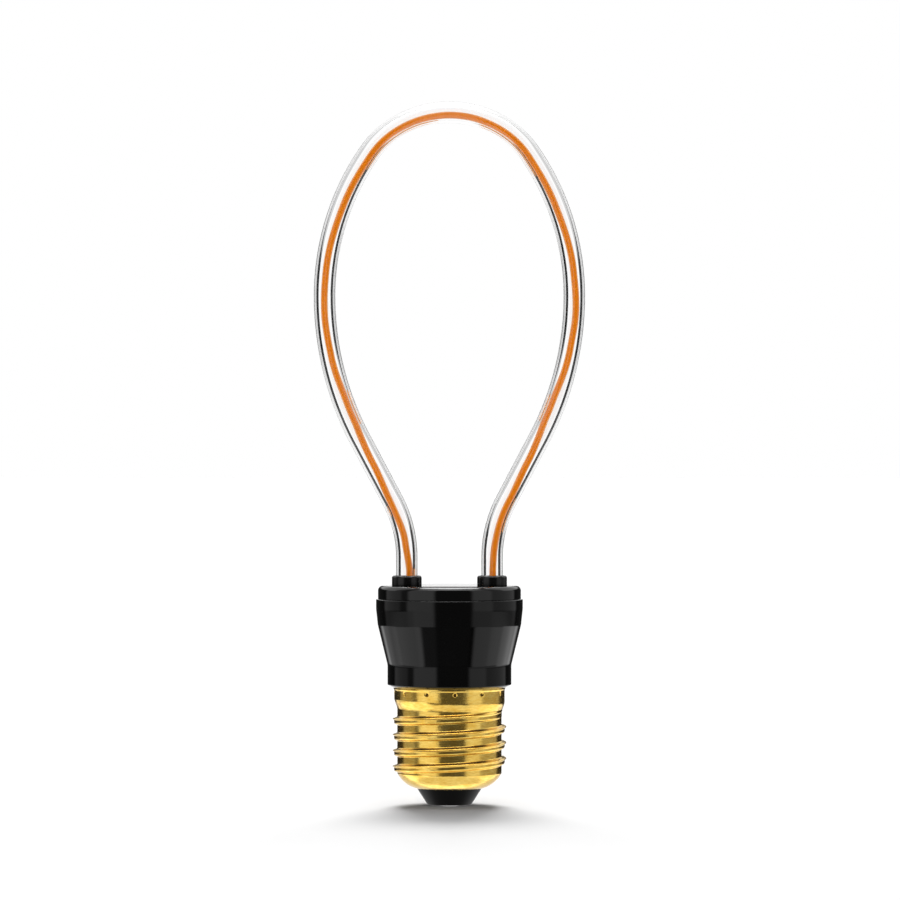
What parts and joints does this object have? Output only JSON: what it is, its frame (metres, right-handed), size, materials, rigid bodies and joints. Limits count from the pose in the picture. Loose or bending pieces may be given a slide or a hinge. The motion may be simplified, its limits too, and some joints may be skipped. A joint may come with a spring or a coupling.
{
  "type": "led bulb",
  "caption": "LED bulb: a clear tube bent into a tall pear-shaped loop holds a flexible filament, on a black housing with a brass screw cap.",
  "frame": {"origin": "middle of the centre contact's flat face, on the cap's axis", "axes": "+Z along the cap's axis from the contact towards the loop; the loop stands in the XZ plane; -Y is the front"},
  "size_m": [0.0624, 0.0338, 0.1617],
  "materials": {
    "clear_tube": "clear, fire-polished",
    "phosphor": "soft matte silicone with phosphor",
    "tinned": "tinned metal",
    "silicone": "moulded silicone",
    "adhesive": "cured silicone adhesive",
    "collar_black": "moulded, slightly ribbed by its mould",
    "cover_black": "high gloss moulding",
    "housing_black": "high gloss moulding",
    "cap_brass": "rolled brass sheet, lacquered",
    "insulator_black": "dark insulating cone",
    "contact_metal": "tinned contact",
    "board_laminate": "solder resist over laminate",
    "capacitor_sleeve": "shrink sleeve",
    "film_red": "dipped film capacitor",
    "ferrite": "ferrite",
    "copper_wire": "enamelled copper winding",
    "chip_black": "moulded epoxy",
    "chip_tan": "ceramic",
    "resistor_body": "coated ceramic",
    "sleeve_white": "shrink sleeve",
    "solder": "solder",
    "lead_black": "insulated lead",
    "lead_red": "insulated lead"
  },
  "bodies": {
    "root": {"light_tube": "clear_tube", "led_filament": "phosphor", "filament_terminal_left": "tinned", "filament_terminal_right": "tinned", "tube_plug_left": "silicone", "tube_plug_right": "silicone", "tube_adhesive_left": "adhesive", "tube_adhesive_right": "adhesive", "tube_collar_left": "collar_black", "tube_collar_right": "collar_black", "top_cover": "cover_black", "housing_body": "housing_black", "screw_shell": "cap_brass", "cap_insulator": "insulator_black", "centre_contact": "contact_metal", "driver_board": "board_laminate", "electrolytic_capacitor": "capacitor_sleeve", "film_capacitor": "film_red", "inductor_core": "ferrite", "inductor_winding": "copper_wire", "bridge_rectifier": "chip_black", "driver_ic": "chip_black", "chip_components": "chip_tan", "fuse_resistor": "resistor_body", "fuse_sleeve": "sleeve_white", "solder_joints": "solder", "live_wire": "tinned", "neutral_wire": "tinned", "filament_lead_left": "lead_black", "filament_lead_right": "lead_red"}
  },
  "joints": []
}
